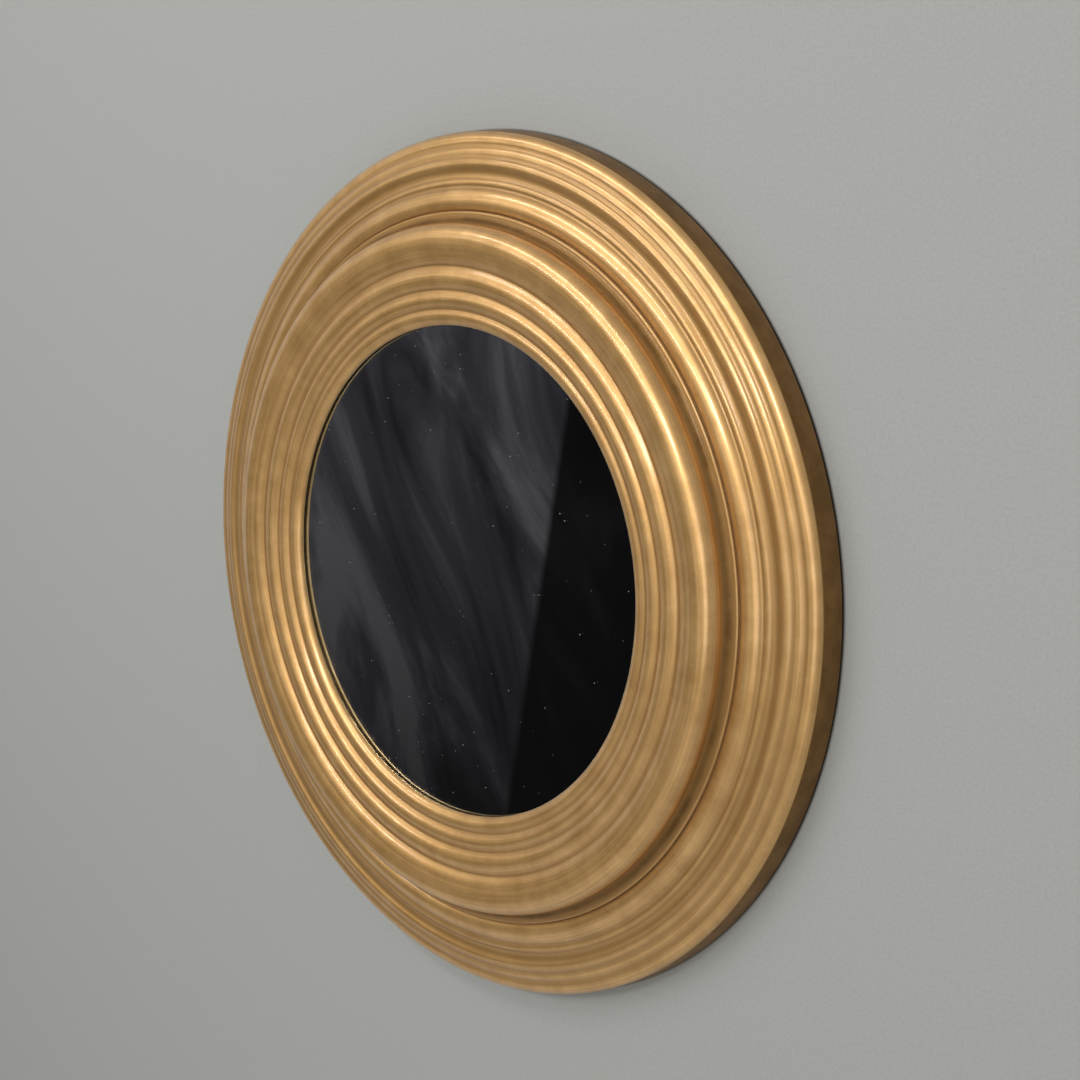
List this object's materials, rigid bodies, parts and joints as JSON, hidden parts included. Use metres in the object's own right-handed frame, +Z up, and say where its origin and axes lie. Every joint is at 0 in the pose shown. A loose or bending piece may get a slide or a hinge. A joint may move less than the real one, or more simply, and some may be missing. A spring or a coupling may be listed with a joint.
{
  "type": "wall mirror",
  "caption": "Round wall mirror with a flat glass in a stepped, gold-painted turned wooden frame, hung on two keyhole plates.",
  "frame": {"origin": "where the round frame's axis meets the wall", "axes": "+X right seen from the front, +Y into the wall, +Z up; the mirror faces -Y"},
  "size_m": [0.6499, 0.0489, 0.65],
  "materials": {
    "gold_painted_wood": "satin antique-gold paint on turned wood",
    "mirror_glass": "silvered float glass",
    "grey_card": "plain grey card",
    "brown_hardboard": "smooth oiled hardboard",
    "zinc_plated_steel": "zinc plated",
    "felt": "pressed felt"
  },
  "bodies": {
    "frame": {"base_ring": "gold_painted_wood", "raised_ring": "gold_painted_wood", "mirror_glass": "mirror_glass", "cushion_sheet": "grey_card", "backing_board": "brown_hardboard", "turn_button_screw_1": "zinc_plated_steel", "turn_button_screw_2": "zinc_plated_steel", "turn_button_screw_3": "zinc_plated_steel", "turn_button_screw_4": "zinc_plated_steel", "turn_button_screw_5": "zinc_plated_steel", "turn_button_screw_6": "zinc_plated_steel", "ring_screw_1": "zinc_plated_steel", "ring_screw_2": "zinc_plated_steel", "ring_screw_3": "zinc_plated_steel", "ring_screw_4": "zinc_plated_steel", "ring_screw_5": "zinc_plated_steel", "ring_screw_6": "zinc_plated_steel", "ring_screw_7": "zinc_plated_steel", "ring_screw_8": "zinc_plated_steel", "keyhole_plate_left": "zinc_plated_steel", "keyhole_plate_right": "zinc_plated_steel", "keyhole_screw_left_upper": "zinc_plated_steel", "keyhole_screw_left_lower": "zinc_plated_steel", "keyhole_screw_right_upper": "zinc_plated_steel", "keyhole_screw_right_lower": "zinc_plated_steel", "wall_pad_top": "felt", "wall_pad_bottom": "felt", "wall_pad_left": "felt", "wall_pad_right": "felt"},
    "turn_button_1": {"turn_button_1": "zinc_plated_steel"},
    "turn_button_2": {"turn_button_2": "zinc_plated_steel"},
    "turn_button_3": {"turn_button_3": "zinc_plated_steel"},
    "turn_button_4": {"turn_button_4": "zinc_plated_steel"},
    "turn_button_5": {"turn_button_5": "zinc_plated_steel"},
    "turn_button_6": {"turn_button_6": "zinc_plated_steel"}
  },
  "joints": [
    {"name": "turn_button_1_swivel", "type": "hinge", "parent": "frame", "child": "turn_button_1", "pos_m": [0.1758, -0.02625, 0.1015], "axis": [0, 1, 0], "range_deg": [-100, 100]},
    {"name": "turn_button_2_swivel", "type": "hinge", "parent": "frame", "child": "turn_button_2", "pos_m": [0, -0.02625, 0.203], "axis": [0, 1, 0], "range_deg": [-100, 100]},
    {"name": "turn_button_3_swivel", "type": "hinge", "parent": "frame", "child": "turn_button_3", "pos_m": [-0.1758, -0.02625, 0.1015], "axis": [0, 1, 0], "range_deg": [-100, 100]},
    {"name": "turn_button_4_swivel", "type": "hinge", "parent": "frame", "child": "turn_button_4", "pos_m": [-0.1758, -0.02625, -0.1015], "axis": [0, 1, 0], "range_deg": [-100, 100]},
    {"name": "turn_button_5_swivel", "type": "hinge", "parent": "frame", "child": "turn_button_5", "pos_m": [0, -0.02625, -0.203], "axis": [0, 1, 0], "range_deg": [-100, 100]},
    {"name": "turn_button_6_swivel", "type": "hinge", "parent": "frame", "child": "turn_button_6", "pos_m": [0.1758, -0.02625, -0.1015], "axis": [0, 1, 0], "range_deg": [-100, 100]}
  ]
}
